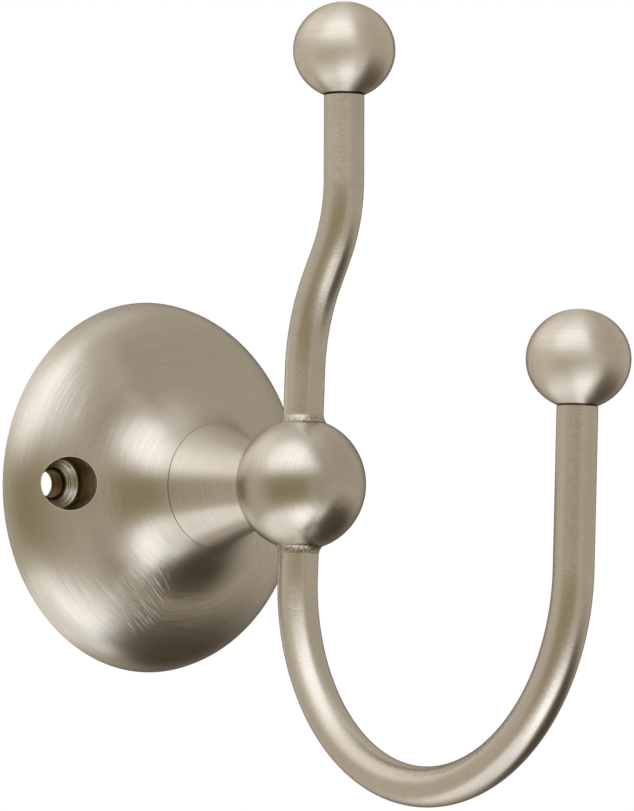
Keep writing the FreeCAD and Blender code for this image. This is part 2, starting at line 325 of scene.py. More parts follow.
def shaded(net, metal):
    """Ends a material with one shader that has the given sockets."""
    shine = net.node("ShaderNodeBsdfPrincipled", inputs=metal)
    net.node("ShaderNodeOutputMaterial", inputs={"Surface": shine})


def noise(net, place, scale, detail, rough=0.5):
    """Noise between 0 and 1, with its scale in waves to the metre."""
    inputs = {"Vector": place, "Scale": scale, "Detail": detail, "Roughness": rough}
    return net.node("ShaderNodeTexNoise", {"noise_dimensions": "3D"}, "Fac", inputs)


ON_AXIS = 1e-10


def rings(net, centre, turn):
    """Radius, height, cosine and sine of a point on a turned piece, and where its lines run."""
    place = net.node("ShaderNodeTexCoord", outlet="Object")
    inputs = {"Vector": place, "Location": centre, "Rotation": turn}
    local = net.node("ShaderNodeMapping", {"vector_type": "TEXTURE"}, 0, inputs)
    net.node("ShaderNodeSeparateXYZ", inputs={"Vector": local})
    x, y, z = (net.other(i) for i in range(3))
    radius = (x * x + y * y + ON_AXIS) ** 0.5
    cosine = x / radius
    sine = y / radius
    ring = net.node("ShaderNodeCombineXYZ", inputs={"X": sine * -1.0, "Y": cosine, "Z": 0.0})
    inputs = {"Vector": ring, "Rotation": turn}
    run = net.node("ShaderNodeMapping", {"vector_type": "VECTOR"}, 0, inputs)
    return radius, z, cosine, sine, run


# Brush lines come in three sizes: each has a pitch across the lines, a stretch along them and
# a level of detail. The finest one, the hair, does nearly all of the tilting.
HAIR_LINES = (0.0045 * MM, 4.0, 0.0)
BRUSH_LINES = (0.20 * MM, 1.2, 2.0)
WISP_LINES = (0.7 * MM, 0.7, 1.0)
LINE_ROUGH = 0.6
BRUSH_TILT = 0.03
WISP_TILT = 0.006
CLOUD_SCALE = 70.0
CLOUD_DETAIL = 3.0
CLOUD_SPLIT = (0.3, 0.7)
CLOUD_DULLS = 0.6
LEAST_DULL = 0.2
BRUSH_DULLS = 2.4
WISP_DULLS = 0.6
BRUSH_ROUGHENS = 0.08
CLOUD_ROUGHENS = 0.04


def brushed(net, first, second, third, fourth, run, hair=0.9, roughness=0.22):
    """Nickel brushed along run. Two numbers change across the lines, the next two along them."""

    def lines(pitch, stretch, detail):
        """Noise drawn out along the brush lines, centred on zero."""
        inputs = {"X": first * (1 / pitch), "Y": second * (1 / pitch), "Z": third * stretch}
        inputs = {
            "Vector": net.node("ShaderNodeCombineXYZ", inputs=inputs),
            "W": fourth * stretch,
            "Scale": 1.0,
            "Detail": detail,
            "Roughness": LINE_ROUGH,
        }
        return net.node("ShaderNodeTexNoise", {"noise_dimensions": "4D"}, "Fac", inputs) - 0.5

    normal = net.node("ShaderNodeNewGeometry", outlet="Normal")
    fine = lines(*HAIR_LINES)
    line = lines(*BRUSH_LINES)
    wisp = lines(*WISP_LINES)
    tilt = fine * hair + line * BRUSH_TILT + wisp * WISP_TILT
    inputs = {0: net.vector("CROSS_PRODUCT", normal, run), "Scale": tilt}
    tipped = net.node("ShaderNodeVectorMath", {"operation": "SCALE"}, 0, inputs)
    bent = net.vector("NORMALIZE", net.vector("ADD", normal, tipped))
    place = net.node("ShaderNodeTexCoord", outlet="Object")
    cloud = noise(net, place, CLOUD_SCALE, CLOUD_DETAIL, LINE_ROUGH)
    patches = cloud.ramp(*CLOUD_SPLIT) * CLOUD_DULLS + LEAST_DULL
    dulled = (patches + line * BRUSH_DULLS + wisp * WISP_DULLS).clamped()
    return {
        "Base Color": dulled.mixed(NICKEL, NICKEL_DULL),
        "Metallic": 1.0,
        "Roughness": roughness + line * BRUSH_ROUGHENS + cloud * CLOUD_ROUGHENS,
        "Normal": bent,
    }


def lay_painted_light(metal, amount, shade):
    """Lays painted shade or a painted highlight over a metal's colour where the amount is 1."""
    metal["Base Color"] = amount.mixed(metal["Base Color"], shade)


def bumped(net, metal, height, strength, depth):
    """Gives a metal's surface a relief, to a depth in millimetres."""
    inputs = {"Height": height, "Strength": strength, "Distance": depth * MM}
    inputs["Normal"] = metal["Normal"]
    metal["Normal"] = net.node("ShaderNodeBump", inputs=inputs)


def beyond(distance, start, end):
    """0 nearer than start and 1 past end, both in millimetres."""
    return distance.ramp(start * MM, end * MM)


def within(distance, start, end):
    """1 nearer than start and 0 past end, both in millimetres."""
    return 1 - beyond(distance, start, end)


def new_tree(name, inlets, outlet):
    """An empty Geometry Nodes tree with its named inputs and the mesh that it gives."""
    tree = bpy.data.node_groups.new(name, "GeometryNodeTree")
    for inlet, kind in inlets.items():
        tree.interface.new_socket(inlet, in_out="INPUT", socket_type="NodeSocket" + kind)
    tree.interface.new_socket(outlet, in_out="OUTPUT", socket_type="NodeSocketGeometry")
    return tree


def finished(net, mesh, finish, outlet):
    """Ends a Geometry Nodes tree with one smooth, real mesh in its finish."""
    inputs = {"Geometry": mesh, "Shade Smooth": True}
    mesh = net.node("GeometryNodeSetShadeSmooth", inputs=inputs)
    mesh = net.node("GeometryNodeRealizeInstances", inputs={"Geometry": mesh})
    mesh = net.node("GeometryNodeSetMaterial", inputs={"Geometry": mesh, "Material": finish})
    net.node("NodeGroupOutput", inputs={outlet: mesh})


def turning_tree():
    """Nodes that turn an outline, a row of points in the XZ plane, round the Z axis."""
    inlets = {"Outline": "Geometry", "Segments": "Int", "Finish": "Material"}
    tree = new_tree("turn_outline", inlets, "Turned")
    net = Signal(tree)
    outline = net.node("NodeGroupInput")
    segments = net.other("Segments")
    finish = net.other("Finish")
    settings = {"component": "MESH"}
    inputs = {"Geometry": outline}
    count = net.node("GeometryNodeAttributeDomainSize", settings, "Point Count", inputs)
    inputs = {"Vertices X": segments + 1, "Vertices Y": count}
    grid = net.node("GeometryNodeMeshGrid", inputs=inputs)
    index = net.node("GeometryNodeInputIndex")
    step = net.maths("FLOOR", index / count)
    row = index - step * count
    spot = net.node("GeometryNodeInputPosition")
    settings = {"data_type": "FLOAT_VECTOR", "domain": "POINT"}
    inputs = {"Geometry": outline, "Value": spot, "Index": row}
    point = net.node("GeometryNodeSampleIndex", settings, 0, inputs)
    inputs = {"Vector": point, "Axis": (0, 0, 1), "Angle": step / segments * math.tau}
    round_point = net.node("ShaderNodeVectorRotate", {"rotation_type": "AXIS_ANGLE"}, 0, inputs)
    inputs = {"Geometry": grid, "Position": round_point}
    mesh = net.node("GeometryNodeSetPosition", inputs=inputs)
    inputs = {"Geometry": mesh, "Distance": WELD}
    mesh = net.node("GeometryNodeMergeByDistance", inputs=inputs)
    finished(net, mesh, finish, "Turned")
    return tree


TURNING = turning_tree()


def baked(source, tree, values, name):
    """The mesh that a Geometry Nodes tree makes from an object, as a plain object."""
    bpy.context.scene.collection.objects.link(source)
    modifier = source.modifiers.new("nodes", "NODES")
    modifier.node_group = tree
    for item in tree.interface.items_tree:
        if item.in_out == "INPUT" and item.name in values:
            modifier[item.identifier] = values[item.name]
    depsgraph = bpy.context.evaluated_depsgraph_get()
    mesh = bpy.data.meshes.new_from_object(source.evaluated_get(depsgraph))
    bpy.data.objects.remove(source)
    mesh.name = name
    made = bpy.data.objects.new(name, mesh)
    bpy.context.scene.collection.objects.link(made)
    return made


def outward(made):
    """Points every face out and marks the sharp edges."""
    work = bmesh.new()
    work.from_mesh(made.data)
    bmesh.ops.remove_doubles(work, verts=work.verts, dist=SAME_POINT)
    bmesh.ops.dissolve_degenerate(work, edges=work.edges, dist=NO_LENGTH)
    bmesh.ops.recalc_face_normals(work, faces=work.faces)
    work.to_mesh(made.data)
    work.free()
    made.data.shade_smooth()
    made.data.set_sharp_from_angle(angle=SHARP_FROM)


def turned(name, outline, place, finish, segments=SEGMENTS):
    """A turned piece: an outline of radius and height in millimetres, and where it stands."""
    mesh = bpy.data.meshes.new(name)
    points = [(r * MM, 0, h * MM) for r, h in outline]
    mesh.from_pydata(points, [(i, i + 1) for i in range(len(points) - 1)], [])
    source = bpy.data.objects.new(name, mesh)
    made = baked(source, TURNING, {"Segments": segments, "Finish": finish}, name)
    made.data.transform(place)
    outward(made)
    return made


def arc(start, end, slope, steps):
    """Points on the arc from start, at a slope in degrees, to end, and the slope there."""
    dx = start[0] - end[0]
    dy = end[1] - start[1]
    chord = math.atan2(dy, dx)
    half = chord - math.radians(slope)
    if abs(half) < NO_BEND:
        return [start, end], slope
    radius = math.hypot(dx, dy) / 2 / math.sin(half)
    points = []
    for i in range(steps + 1):
        a = math.radians(slope) + 2 * half * i / steps
        x = start[0] - radius * (math.sin(a) - math.sin(math.radians(slope)))
        y = start[1] - radius * (math.cos(a) - math.cos(math.radians(slope)))
        points.append((x, y))
    return points, math.degrees(chord + half)


def plate_face(depth):
    """Shoulder, crown and flare of the plate's outline at a depth, from the rim to the seam."""
    first = math.radians(RIM_SLOPE)
    sloped = []
    for i in range(SHOULDER_STEPS + 1):
        a = math.radians(RIM_SLOPE + (SHOULDER_SLOPE - RIM_SLOPE) * i / SHOULDER_STEPS)
        x = PLATE_RADIUS - SHOULDER_RADIUS * (math.sin(first) - math.sin(a))
        sloped.append((x, SHOULDER_RADIUS * (math.cos(a) - math.cos(first)), a))
    corner = sloped[-1][:2]
    crown_width = (corner[0] - SEAM_RADIUS) * CROWN_SPAN
    crown_rise = (SEAM_HEIGHT - corner[1]) * CROWN_RISE
    crown_end = (corner[0] - crown_width, corner[1] + crown_rise)
    crown, slope = arc(corner, crown_end, SHOULDER_SLOPE, CROWN_STEPS)
    flare, last = arc(crown_end, (SEAM_RADIUS, SEAM_HEIGHT), slope, FLARE_STEPS)
    for curve, start, end in ((crown, SHOULDER_SLOPE, slope), (flare, slope, last)):
        for i, p in enumerate(curve[1:], 1):
            sloped.append((*p, math.radians(start + (end - start) * i / (len(curve) - 1))))
    return [(x - depth * math.sin(a), y - depth * math.cos(a)) for x, y, a in sloped]


def cut(made, tool):
    """Cuts one mesh by another and throws the tool away."""
    modifier = made.modifiers.new("cut", "BOOLEAN")
    modifier.operation = "DIFFERENCE"
    modifier.solver = "EXACT"
    modifier.object = tool
    depsgraph = bpy.context.evaluated_depsgraph_get()
    mesh = bpy.data.meshes.new_from_object(made.evaluated_get(depsgraph))
    made.modifiers.remove(modifier)
    made.data = mesh
    bpy.data.objects.remove(tool)


wall_side = OUT_OF_WALL.to_matrix().to_4x4()
spots = []
for side in (0, math.pi):
    a = side + PLATE_TURN
    spots.append(Vector((math.cos(a), 0, math.sin(a))) * SCREW_CIRCLE_RADIUS * MM)

# How far from a screw hole's axis each of its bands starts and ends, in millimetres: where the
# hole's mouth and the painted highlight on its edge are, and the painted shade on the
# counterbore's wall, the lead and the step round it.
MOUTH_AT = (COUNTERBORE_RADIUS + 0.004, COUNTERBORE_RADIUS + 0.012)
MOUTH_HIGHLIGHT_END = (COUNTERBORE_RADIUS + 0.10, COUNTERBORE_RADIUS + 0.22)
WALL_AT = (COUNTERSINK_RADIUS + 0.1, COUNTERSINK_RADIUS + 0.2)
LEAD_END = (LEAD_RADIUS - 0.05, LEAD_RADIUS + 0.02)
STEP_START = (LEAD_RADIUS - 0.08, LEAD_RADIUS)
STEP_END = (LEAD_RADIUS + 0.10, LEAD_RADIUS + 0.25)

# Strengths, scales and depths of the marks on the plate, its painted shade and highlight among
# them. Scales are in waves to the metre.
WALL_SHADE_LIGHTENS = (COUNTERSINK_TOP, 12.0)
STEP_PAINTED_SHADE = 0.9
MOUTH_HIGHLIGHT_STRENGTH = 0.8
TOOL_MARKS_OUTWARD = 4200
TOOL_MARKS_DOWN = 900
TOOL_MARK_DETAIL = 2.0
TOOL_MARK_DEPTH = 0.34
SCUFF = Vector((-9.8, 0.0, -22.7))
SCUFF_FADES = (2.0, 8.5)
SCUFF_TURN = (0, math.radians(51.4), 0)
SCRATCH_SCALE = (5500, 150, 150)
SCRATCH_DETAIL = 1.0
SCRATCH_SPLIT = (0.56, 0.68)
SCRATCH_DEPTH = 0.06
PLATE_SEAM_SHADOW = (0.03, 0.14)

plate_finish, net = new_paint("plate_nickel")
radius, level, cosine, sine, run = rings(net, (0, 0, 0), OUT_OF_WALL)
metal = brushed(net, radius, level, cosine, sine, run)
place = net.node("ShaderNodeTexCoord", outlet="Object")
flat_place = net.vector("MULTIPLY", place, (1, 0, 1))
distances = [net.vector("DISTANCE", flat_place, tuple(spot), outlet="Value") for spot in spots]
from_hole = net.maths("MINIMUM", *distances)
in_hole = within(from_hole, *MOUTH_AT)
# Painted shade inside the screw holes: dark brown on the walls and lighter towards the mouth,
# darkest in the lead and near black at the step.
wall_painted_shade = beyond(level, *WALL_SHADE_LIGHTENS).mixed(HOLE_WALL_PAINTED_SHADE, HOLE_MOUTH_PAINTED_SHADE)
lay_painted_light(metal, in_hole * beyond(from_hole, *WALL_AT), wall_painted_shade)
lay_painted_light(metal, in_hole * within(from_hole, *LEAD_END), HOLE_DEEP_PAINTED_SHADE)
step = beyond(from_hole, *STEP_START) * within(from_hole, *STEP_END)
lay_painted_light(metal, in_hole * step * STEP_PAINTED_SHADE, HOLE_STEP_PAINTED_SHADE)
# Painted highlight: a thin pale line round the mouth of each counterbore.
mouth_highlight = beyond(from_hole, *MOUTH_AT) * within(from_hole, *MOUTH_HIGHLIGHT_END)
lay_painted_light(metal, mouth_highlight * MOUTH_HIGHLIGHT_STRENGTH, PAINTED_EDGE_HIGHLIGHT)
inputs = {"X": from_hole * TOOL_MARKS_OUTWARD, "Y": level * TOOL_MARKS_DOWN}
tool_place = net.node("ShaderNodeCombineXYZ", inputs=inputs)
tool_marks = noise(net, tool_place, 1.0, TOOL_MARK_DETAIL)
bumped(net, metal, tool_marks * in_hole, 1.0, TOOL_MARK_DEPTH)
from_scuff = net.vector("DISTANCE", flat_place, tuple(SCUFF * MM), outlet="Value")
inputs = {"Vector": place, "Rotation": SCUFF_TURN}
scratch_place = net.node("ShaderNodeMapping", {"vector_type": "POINT"}, 0, inputs)
scratch_place = net.vector("MULTIPLY", scratch_place, SCRATCH_SCALE)
scratches = noise(net, scratch_place, 1.0, SCRATCH_DETAIL).ramp(*SCRATCH_SPLIT)
bumped(net, metal, scratches * within(from_scuff, *SCUFF_FADES), 1.0, SCRATCH_DEPTH)
# Painted shadow: a dark line in the seam where the neck meets the plate.
from_seam = net.maths("ABSOLUTE", level - SEAM_HEIGHT * MM)
lay_painted_light(metal, within(from_seam, *PLATE_SEAM_SHADOW), SEAM_PAINTED_SHADOW)
shaded(net, metal)

flare_end = SEAM_HEIGHT - SEAM_BEVEL
hub = SEAM_HEIGHT - SPIGOT_LENGTH - SPIGOT_GAP
outline = [
    (PLATE_RADIUS - RIM_BEVEL, 0.0),
    (PLATE_RADIUS, RIM_BEVEL),
    *[p for p in plate_face(0) if RIM_BEVEL < p[1] < flare_end],
    (SEAM_RADIUS + SEAM_BEVEL / 3, flare_end),
    (SEAM_RADIUS - SEAM_DEPTH, SEAM_HEIGHT),
    (SPIGOT_RADIUS + FIT_GAP, SEAM_HEIGHT),
    (SPIGOT_RADIUS + FIT_GAP, hub),
    (BORE_RADIUS, hub),
    (BORE_RADIUS, 0.0),
]
backplate = turned("backplate_turned", outline + [outline[0]], wall_side, plate_finish)

inner = [p for p in plate_face(PLATE_WALL) if p[1] < HUB_UNDERSIDE]
hollow_outline = [
    (0, -PAST_BACK),
    (inner[0][0], -PAST_BACK),
    *inner,
    (inner[-1][0] - HOLLOW_CORNER, HUB_UNDERSIDE),
    (0, HUB_UNDERSIDE),
]
hollow = turned("hollow", hollow_outline, wall_side, plate_finish, HOLLOW_SEGMENTS)
boss_outline = [
    (0, -BOSS_PAST_BACK),
    (COUNTERBORE_RADIUS + BOSS_WALL, -BOSS_PAST_BACK),
    (COUNTERBORE_RADIUS + BOSS_WALL, PAST_FACE),
    (0, PAST_FACE),
]
hole_outline = [
    (0, -PAST_BACK),
    (SCREW_HOLE_RADIUS, -PAST_BACK),
    (SCREW_HOLE_RADIUS, LEAD_BOTTOM),
    (LEAD_RADIUS, LEAD_BOTTOM),
    (LEAD_RADIUS, COUNTERSINK_BOTTOM),
    (COUNTERSINK_RADIUS, COUNTERSINK_TOP),
    (COUNTERBORE_RADIUS, COUNTERSINK_TOP),
    (COUNTERBORE_RADIUS, PAST_FACE),
    (0, PAST_FACE),
]
for spot in spots:
    stand = Matrix.Translation(spot) @ wall_side
    cut(hollow, turned("boss", boss_outline, stand, plate_finish, BOSS_SEGMENTS))
cut(backplate, hollow)
for spot in spots:
    stand = Matrix.Translation(spot) @ wall_side
    cut(backplate, turned("drill", hole_outline, stand, plate_finish, HOLE_SEGMENTS))
outward(backplate)
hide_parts("backplate")
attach(backplate, "root")


# Neck: a short waisted post, turned separately and held to the plate by the screw through it.
# Its foot meets the plate at the fine seam line. Brushed in rings like the plate.
BALL_REACH = 48.4
BALL_RADIUS = 13.09
BALL_HALF_DEPTH = 12.59
NECK_END_RADIUS = 7.6
NECK_HOLLOW = 0.3
NECK_STEPS = 24
NECK_HAIR = 0.6
NECK_SEAM_SHADOW = (0.03, 0.12)
NECK_END = BALL_REACH - BALL_HALF_DEPTH * math.sqrt(1 - (NECK_END_RADIUS / BALL_RADIUS) ** 2)

neck_finish, net = new_paint("neck_nickel")
radius, level, cosine, sine, run = rings(net, (0, 0, 0), OUT_OF_WALL)
metal = brushed(net, radius, level, cosine, sine, run, NECK_HAIR)
# Painted shadow: a dark line in the seam at the neck's foot.
from_seam = net.maths("ABSOLUTE", level - SEAM_HEIGHT * MM)
lay_painted_light(metal, within(from_seam, *NECK_SEAM_SHADOW), SEAM_PAINTED_SHADOW)
shaded(net, metal)

foot = (SEAM_RADIUS, SEAM_HEIGHT + SEAM_BEVEL)
head = (NECK_END_RADIUS, NECK_END)
taper = math.degrees(math.atan2(head[1] - foot[1], foot[0] - head[0]))
bow = math.degrees(4 * NECK_HOLLOW / math.dist(foot, head))
side_line = arc(foot, head, taper - bow, NECK_STEPS)[0]
neck_outline = [
    (BORE_RADIUS, SEAM_HEIGHT - SPIGOT_LENGTH),
    (SPIGOT_RADIUS, SEAM_HEIGHT - SPIGOT_LENGTH),
    (SPIGOT_RADIUS, SEAM_HEIGHT),
    (SEAM_RADIUS - SEAM_DEPTH, SEAM_HEIGHT),
    *side_line,
    (BORE_RADIUS, NECK_END),
    (BORE_RADIUS, SEAM_HEIGHT - SPIGOT_LENGTH),
]
neck = turned("neck_turned", neck_outline, wall_side, neck_finish)
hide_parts("neck")
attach(neck, "root")


# Centre ball: turned in line with the neck and a little flatter that way, drilled through for
# the rod and tapped at the back for the screw. Brushed in rings, with the faint lines of a
# finishing belt across them.
ROD_RADIUS = 4.0
TAP_RADIUS = 3.05
TAP_SHORT_OF_ROD = 1.1
TAP_END = BALL_REACH - ROD_RADIUS - TAP_SHORT_OF_ROD
BALL_STEPS = 96
BALL_HAIR = 0.6
BELT_SCALE = (200, 200, 6500)
BELT_DETAIL = 2.0
BELT_STRENGTH = 0.42
BELT_DEPTH = 0.02
REAMER_LENGTH = 20
REAMER_SEGMENTS = 96

ball_finish, net = new_paint("ball_nickel")
metal = brushed(net, *rings(net, (0, -BALL_REACH * MM, 0), OUT_OF_WALL), BALL_HAIR)
place = net.node("ShaderNodeTexCoord", outlet="Object")
belt_marks = noise(net, net.vector("MULTIPLY", place, BELT_SCALE), 1.0, BELT_DETAIL)
bumped(net, metal, belt_marks, BELT_STRENGTH, BELT_DEPTH)
shaded(net, metal)

ball_outline = [(0.0, TAP_END), (TAP_RADIUS, TAP_END), (TAP_RADIUS, NECK_END)]
edge_angle = math.acos((BALL_REACH - NECK_END) / BALL_HALF_DEPTH)
for i in range(BALL_STEPS + 1):
    a = edge_angle + (math.pi - edge_angle) * i / BALL_STEPS
    radius = BALL_RADIUS * math.sin(a) if i < BALL_STEPS else 0.0
    ball_outline.append((radius, BALL_REACH - BALL_HALF_DEPTH * math.cos(a)))
centre_ball = turned("centre_ball_turned", ball_outline, wall_side, ball_finish)
ball_centre = Matrix.Translation((0, -BALL_REACH * MM, 0))
reamer_outline = [
    (0, -REAMER_LENGTH),
    (ROD_RADIUS + FIT_GAP, -REAMER_LENGTH),
    (ROD_RADIUS + FIT_GAP, REAMER_LENGTH),
    (0, REAMER_LENGTH),
]
cut(centre_ball, turned("reamer", reamer_outline, ball_centre, ball_finish, REAMER_SEGMENTS))
outward(centre_ball)
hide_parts("centre_ball")
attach(centre_ball, "root")


# Hook rod: one round bar bent cold, an S in the stem above the ball and a U below it, with
# its ends turned down to pins for the end balls. Brushed round the bar.
STEM_RISE = 22.6
STEM_LOWER_BEND = 38.8
STEM_UPPER_BEND = 29.0
STEM_SLOPE = 27.35
STEM_SLOPE_LENGTH = 5.3
STEM_TOP_LEAN = 2.9
TOP_FINIAL_HEIGHT = 85.65
HOOK_DROP = 18.0
HOOK_BEND = 41.4
HOOK_LEAN = 0.9
FRONT_FINIAL_HEIGHT = 22.7
FINIAL_RADIUS = 10.11
FINIAL_HALF_HEIGHT = 9.625
FLAT_MARGIN = 0.3
FLAT_SHARE = (ROD_RADIUS + FLAT_MARGIN) / FINIAL_RADIUS
FINIAL_FLAT = FINIAL_HALF_HEIGHT * math.sqrt(1 - FLAT_SHARE ** 2)
ROD_END_BEVEL = 0.28
PIN_RADIUS = 2.5
PIN_LENGTH = 6.0
MOST_TURN = 30
LINE_STEPS = 48
ROD_STEP = 0.5
ROD_FACETS = 96


class Bender:
    """Centreline of the bar, as knots of a smooth spline with a handle each side."""

    def __init__(self, y, z, heading):
        self.spot = Vector((0, y, z))
        self.heading = heading
        self.knots = [[self.spot, self.spot, self.spot]]

    def direction(self):
        a = math.radians(self.heading)
        return Vector((0, -math.sin(a), math.cos(a)))

    def reach(self, spot, handle, start):
        """A knot at a spot, with handles of one length along the headings at its two ends."""
        self.knots[-1][2] = self.spot + start * handle
        self.knots.append([spot - self.direction() * handle, spot, spot])
        self.spot = spot

    def straight(self, length):
        self.reach(self.spot + self.direction() * length, length / 3, self.direction())

    def bend(self, radius, turn):
        """Bends away from the wall on the way up if the turn is positive."""
        parts = math.ceil(abs(turn) / MOST_TURN)
        for _ in range(parts):
            start = self.direction()
            size = abs(math.radians(turn / parts))
            normal = Vector((0, -start.z, start.y)) * math.copysign(1, turn)
            self.heading += turn / parts
            spot = self.spot + start * radius * math.sin(size)
            spot = spot + normal * radius * (1 - math.cos(size))
            self.reach(spot, 4 / 3 * math.tan(size / 4) * radius, start)

    def up_to(self, height):
        """Straight on to the seat of an end ball whose centre is at a height."""
        self.straight((height - self.spot.z) / self.direction().z - FINIAL_FLAT)


stem = Bender(-BALL_REACH, 0, 0)
stem.straight(STEM_RISE)
stem.bend(STEM_LOWER_BEND, STEM_SLOPE)
stem.straight(STEM_SLOPE_LENGTH)
stem.bend(STEM_UPPER_BEND, -STEM_SLOPE - STEM_TOP_LEAN)
stem.up_to(TOP_FINIAL_HEIGHT)
hook = Bender(-BALL_REACH, 0, 180)
hook.straight(HOOK_DROP)
hook.bend(HOOK_BEND, -180 - HOOK_LEAN)
hook.up_to(FRONT_FINIAL_HEIGHT)
knots = [(after, at, before) for before, at, after in reversed(stem.knots[1:])]
knots.append((stem.knots[0][2], stem.knots[0][1], hook.knots[0][2]))
knots += hook.knots[1:]

line_data = bpy.data.curves.new("bar_line", "CURVE")
line_data.dimensions = "3D"
line_data.resolution_u = LINE_STEPS
spline = line_data.splines.new("BEZIER")
spline.bezier_points.add(len(knots) - 1)
for point, (before, at, after) in zip(spline.bezier_points, knots):
    point.handle_left_type = "FREE"
    point.handle_right_type = "FREE"
    point.co = at * MM
    point.handle_left = before * MM
    point.handle_right = after * MM


def kept(net, line, kind, name, value):
    """A line that keeps a value at each of its points under a name."""
    settings = {"data_type": kind, "domain": "POINT"}
    inputs = {"Geometry": line, "Name": name, "Value": value}
    return net.node("GeometryNodeStoreNamedAttribute", settings, 0, inputs)


def bar_tree():
    """Nodes that sweep a round bar along a line and keep its run for the brush marks."""
    inlets = {"Line": "Geometry", "Radius": "Float", "Step": "Float"}
    inlets.update({"Facets": "Int", "Finish": "Material"})
    tree = new_tree("round_bar", inlets, "Bar")
    net = Signal(tree)
    line = net.node("NodeGroupInput")
    radius, step, facets, finish = (net.other(i) for i in range(1, 5))
    inputs = {"Curve": line, "Length": step}
    line = net.node("GeometryNodeResampleCurve", {"mode": "LENGTH"}, 0, inputs)
    heading = net.node("GeometryNodeInputTangent")
    line = kept(net, line, "FLOAT_VECTOR", "lie", heading)
    length = net.node("GeometryNodeSplineParameter", outlet="Length")
    line = kept(net, line, "FLOAT", "along", length)
    inputs = {"Resolution": facets, "Radius": radius}
    ring = net.node("GeometryNodeCurvePrimitiveCircle", inputs=inputs)
    inputs = {"Curve": line, "Profile Curve": ring, "Fill Caps": True}
    bar = net.node("GeometryNodeCurveToMesh", inputs=inputs)
    finished(net, bar, finish, "Bar")
    return tree


BAR_LENGTH = line_data.splines[0].calc_length()
ROD_PAINTED_LIGHTENING = (1.07, 1.07, 1.08)
ROD_HAIR = 0.5
ROD_ROUGHNESS = 0.26
ROD_END_SHADOW = (0.10, 0.34)
ROD_END_SHADOW_STRENGTH = 0.8
ACROSS_BAR = (1, 0, 0)

rod_finish, net = new_paint("rod_nickel")
normal = net.node("ShaderNodeNewGeometry", outlet="Normal")
lie = net.node("ShaderNodeAttribute", {"attribute_name": "lie"}, "Vector")
along = net.node("ShaderNodeAttribute", {"attribute_name": "along"}, "Fac")
side = net.vector("DOT_PRODUCT", normal, ACROSS_BAR, outlet="Value")
front_of_bar = net.vector("CROSS_PRODUCT", lie, ACROSS_BAR)
front = net.vector("DOT_PRODUCT", normal, front_of_bar, outlet="Value")
run = net.vector("NORMALIZE", net.vector("CROSS_PRODUCT", lie, normal))
metal = brushed(net, along, 0.0, side, front, run, ROD_HAIR, ROD_ROUGHNESS)
# Painted light: the rod's nickel is made lighter than the plate's.
metal["Base Color"] = net.vector("MULTIPLY", metal["Base Color"], ROD_PAINTED_LIGHTENING)
# Painted shadow where each end of the bar goes into its end ball.
from_end = net.maths("MINIMUM", along, BAR_LENGTH - along)
lay_painted_light(metal, within(from_end, *ROD_END_SHADOW) * ROD_END_SHADOW_STRENGTH, SEAM_PAINTED_SHADOW)
shaded(net, metal)

sizes = {"Radius": ROD_RADIUS * MM, "Step": ROD_STEP * MM, "Facets": ROD_FACETS}
sizes["Finish"] = rod_finish
rod = baked(bpy.data.objects.new("bar_line", line_data), bar_tree(), sizes, "hook_rod_bent")
work = bmesh.new()
work.from_mesh(rod.data)
bmesh.ops.recalc_face_normals(work, faces=work.faces)
for cap in [f for f in work.faces if len(f.verts) == ROD_FACETS]:
    middle = cap.calc_center_median()
    out = cap.normal.copy()
    bmesh.ops.translate(work, vec=-out * ROD_END_BEVEL * MM, verts=cap.verts)
    middle -= out * ROD_END_BEVEL * MM
    size = ROD_RADIUS
    steps = [(ROD_RADIUS - ROD_END_BEVEL, ROD_END_BEVEL), (PIN_RADIUS, 0), (PIN_RADIUS, PIN_LENGTH)]
    for radius, forward in steps:
        made = bmesh.ops.extrude_face_region(work, geom=[cap])["geom"]
        if cap.is_valid:
            bmesh.ops.delete(work, geom=[cap], context="FACES_ONLY")
        cap = next(g for g in made if isinstance(g, bmesh.types.BMFace))
        for v in cap.verts:
            v.co = middle + (v.co - middle) * (radius / size) + out * forward * MM
        middle = middle + out * forward * MM
        size = radius
work.to_mesh(rod.data)
work.free()
outward(rod)
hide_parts("hook_rod")
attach(rod, "root")


# Braze beads: the filler run into the corner between rod and ball, above and below, and only
# lightly dressed before plating. It is hollow in section and rough, with dark pits near the
# ball; the lower bead is darker still, which is painted shade.
SEAT_GAP = 0.02
BEAD_HEIGHT = 1.35
BEAD_WIDTH = 0.58
BEAD_HOLLOW = 0.13
BEAD_LIP = 0.30
BEAD_STEPS = 12
BEAD_SEGMENTS = 96
BRAZE_BRIGHT = (0.60, 0.56, 0.49, 1)
BRAZE_PITS_AND_SHADE = (0.15, 0.11, 0.075, 1)
ROUGH_UP_TO = (12.9, 13.4)
LOWER_EXTRA = 0.5
PIT_DARKNESS = 0.65
LOWER_PAINTED_SHADE = 0.25
LOWER_FROM = (0.0, 1.0)
GRAIN_SCALE = 2100.0
GRAIN_DETAIL = 3.0
GRAIN_ROUGH = 0.65
GRAIN_SPLIT = (0.40, 0.54)
PIT_SCALE = 1900.0
PIT_SHARE = 0.5
SMOOTH_SHARE = 0.2
LUMP_STRENGTH = 0.6
LUMP_DEPTH = 0.14
BEAD_ROUGHNESS = 0.24
GRAIN_ROUGHENS = 0.12

bead_metal, net = new_paint("braze")
place = net.node("ShaderNodeTexCoord", outlet="Object")
net.node("ShaderNodeSeparateXYZ", inputs={"Vector": place})
height = net.other("Z")
# On the lower bead the rough band reaches further from the ball, which also widens its dark pits
# and painted shade.
out = net.maths("MAXIMUM", height, -1 * height - LOWER_EXTRA * MM)
rough = within(out, *ROUGH_UP_TO)
